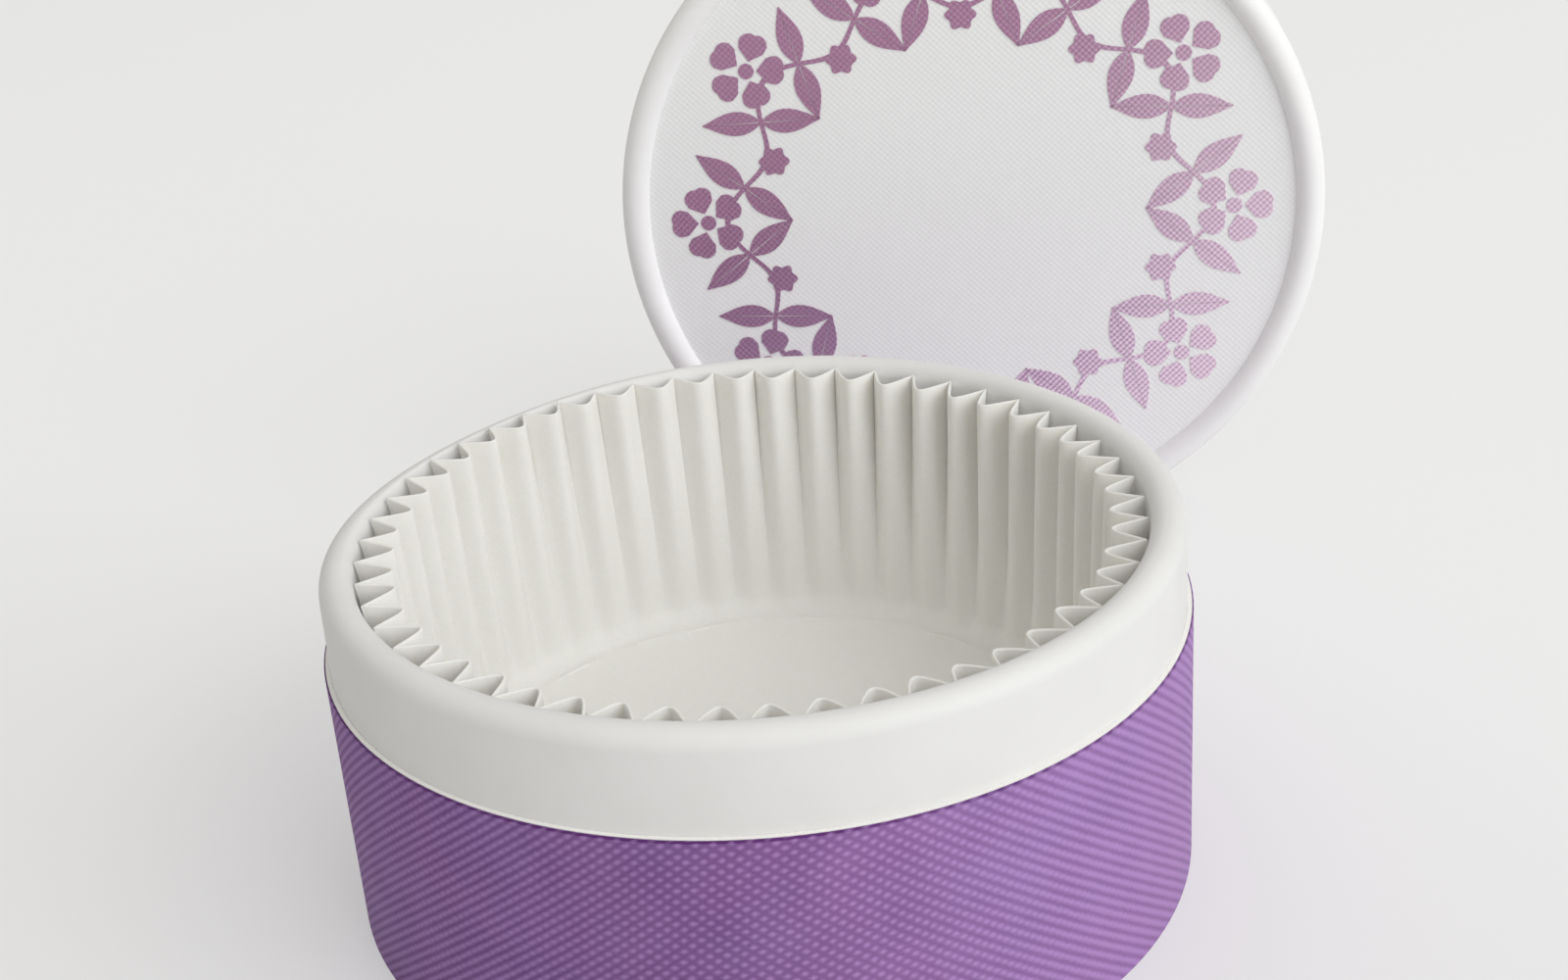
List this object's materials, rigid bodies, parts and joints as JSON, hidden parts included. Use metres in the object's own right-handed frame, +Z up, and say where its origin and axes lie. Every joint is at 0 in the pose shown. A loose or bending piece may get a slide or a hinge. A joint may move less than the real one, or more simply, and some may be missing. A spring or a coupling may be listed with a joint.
{
  "type": "pastry box",
  "caption": "Round rigid gift box with a raised neck, a pleated paper liner and its lid standing on edge behind it.",
  "frame": {"origin": "centre of the base's underside", "axes": "+Z up out of the open box; the front is towards -Y, and the lid stands behind, towards +Y"},
  "size_m": [0.1926, 0.2102, 0.1428],
  "materials": {
    "purple_paper": "embossed, satin",
    "board": "matte",
    "white_card": "smooth, satin",
    "liner_paper": "matte, pleated",
    "linen_card": "linen embossed",
    "mauve_foil": "hot-stamped metallic foil"
  },
  "bodies": {
    "root": {"base_wrap": "purple_paper", "base_board": "board", "base_bottom": "board", "inner_tub": "white_card", "pleated_liner": "liner_paper", "lid_wall": "white_card", "lid_panel": "linen_card", "lid_foil": "mauve_foil"}
  },
  "joints": []
}
